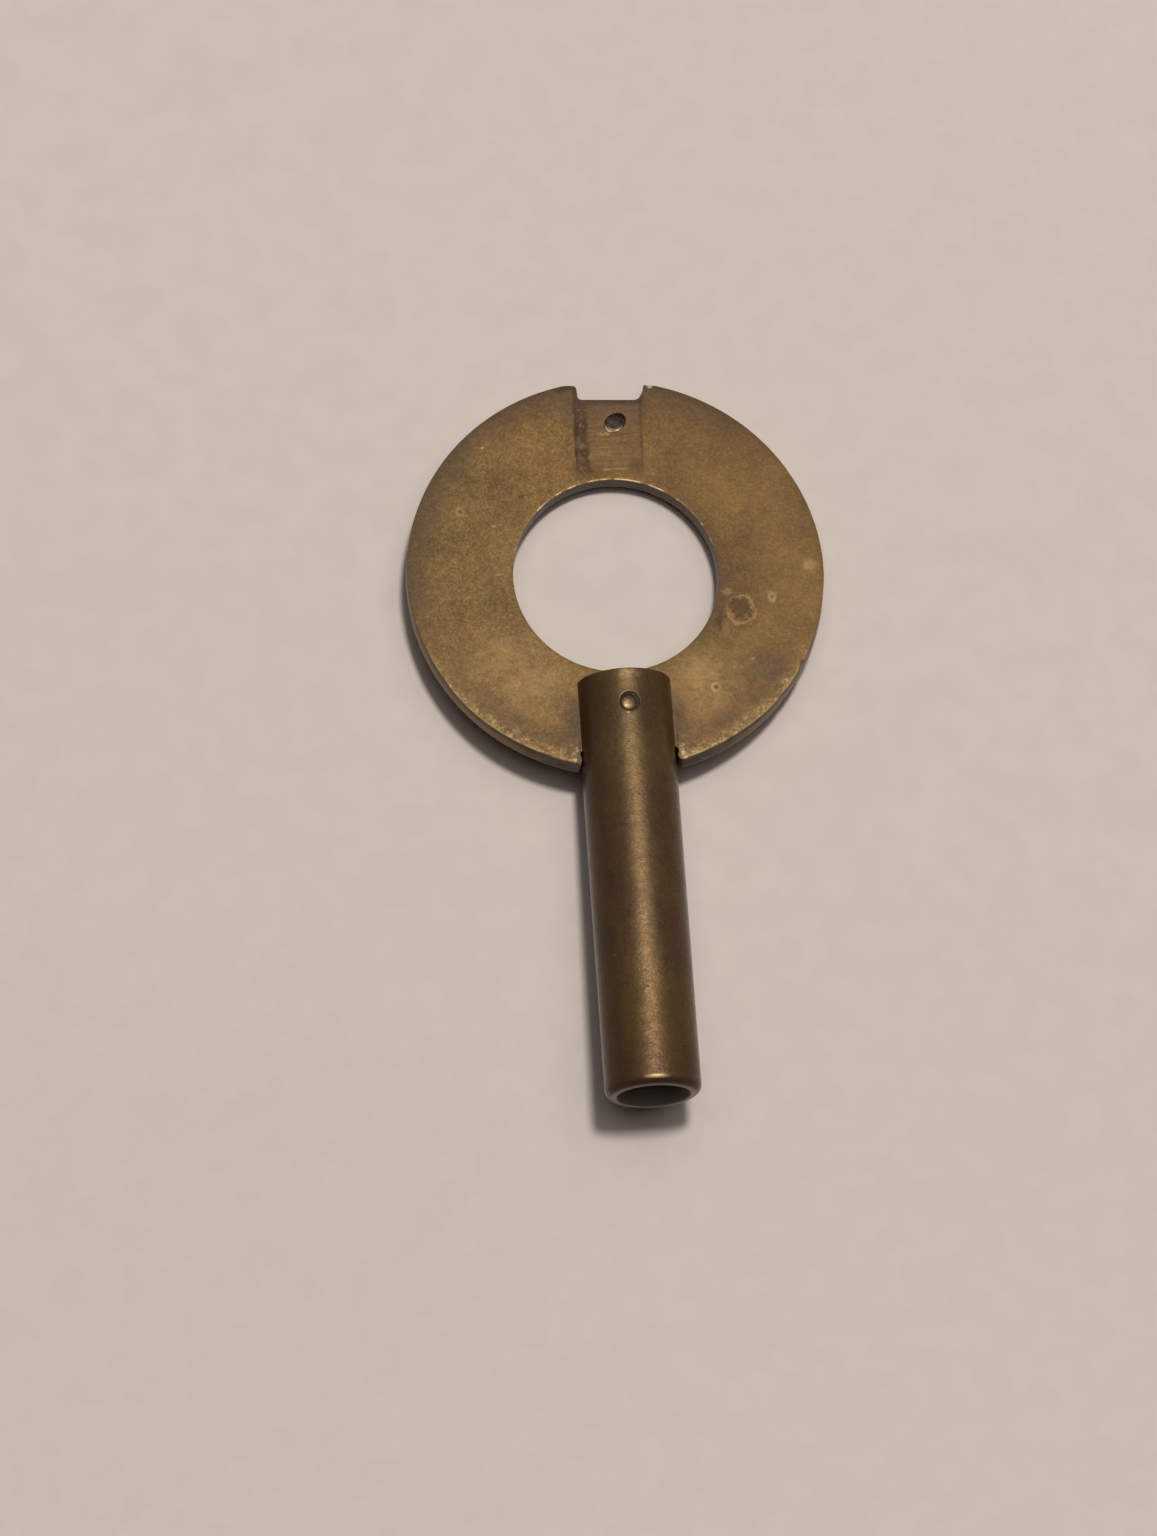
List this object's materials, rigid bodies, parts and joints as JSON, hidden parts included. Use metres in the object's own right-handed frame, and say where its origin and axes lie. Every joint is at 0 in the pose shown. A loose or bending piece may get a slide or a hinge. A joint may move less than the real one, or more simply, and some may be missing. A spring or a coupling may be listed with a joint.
{
  "type": "clock key",
  "caption": "Brass clock key: flat ring bow, slotted winding pipe pinned in a notch of its rim, square socket inside the pipe's round mouth, and an empty seat for a small setting pipe.",
  "frame": {"origin": "centre of the winding pipe's mouth, on the pipe's axis", "axes": "+Y along the pipe from its mouth to the bow, +Z square to the bow plate, +X to the right seen from above with the mouth towards the viewer"},
  "size_m": [0.027, 0.0483, 0.006],
  "materials": {
    "bow_brass": "aged, satin, speckled brown patina with worn edges",
    "pipe_brass": "aged, smooth, dark brown patina, rubbed along the top",
    "bush_brass": "broached, dull",
    "pin_brass": "riveted domes, rubbed bright on top",
    "stub_brass": "broken, dark and dirty"
  },
  "bodies": {
    "root": {"bow": "bow_brass", "winding_pipe": "pipe_brass", "square_bush": "bush_brass", "pipe_pin": "pin_brass", "broken_pin": "stub_brass"}
  },
  "joints": []
}
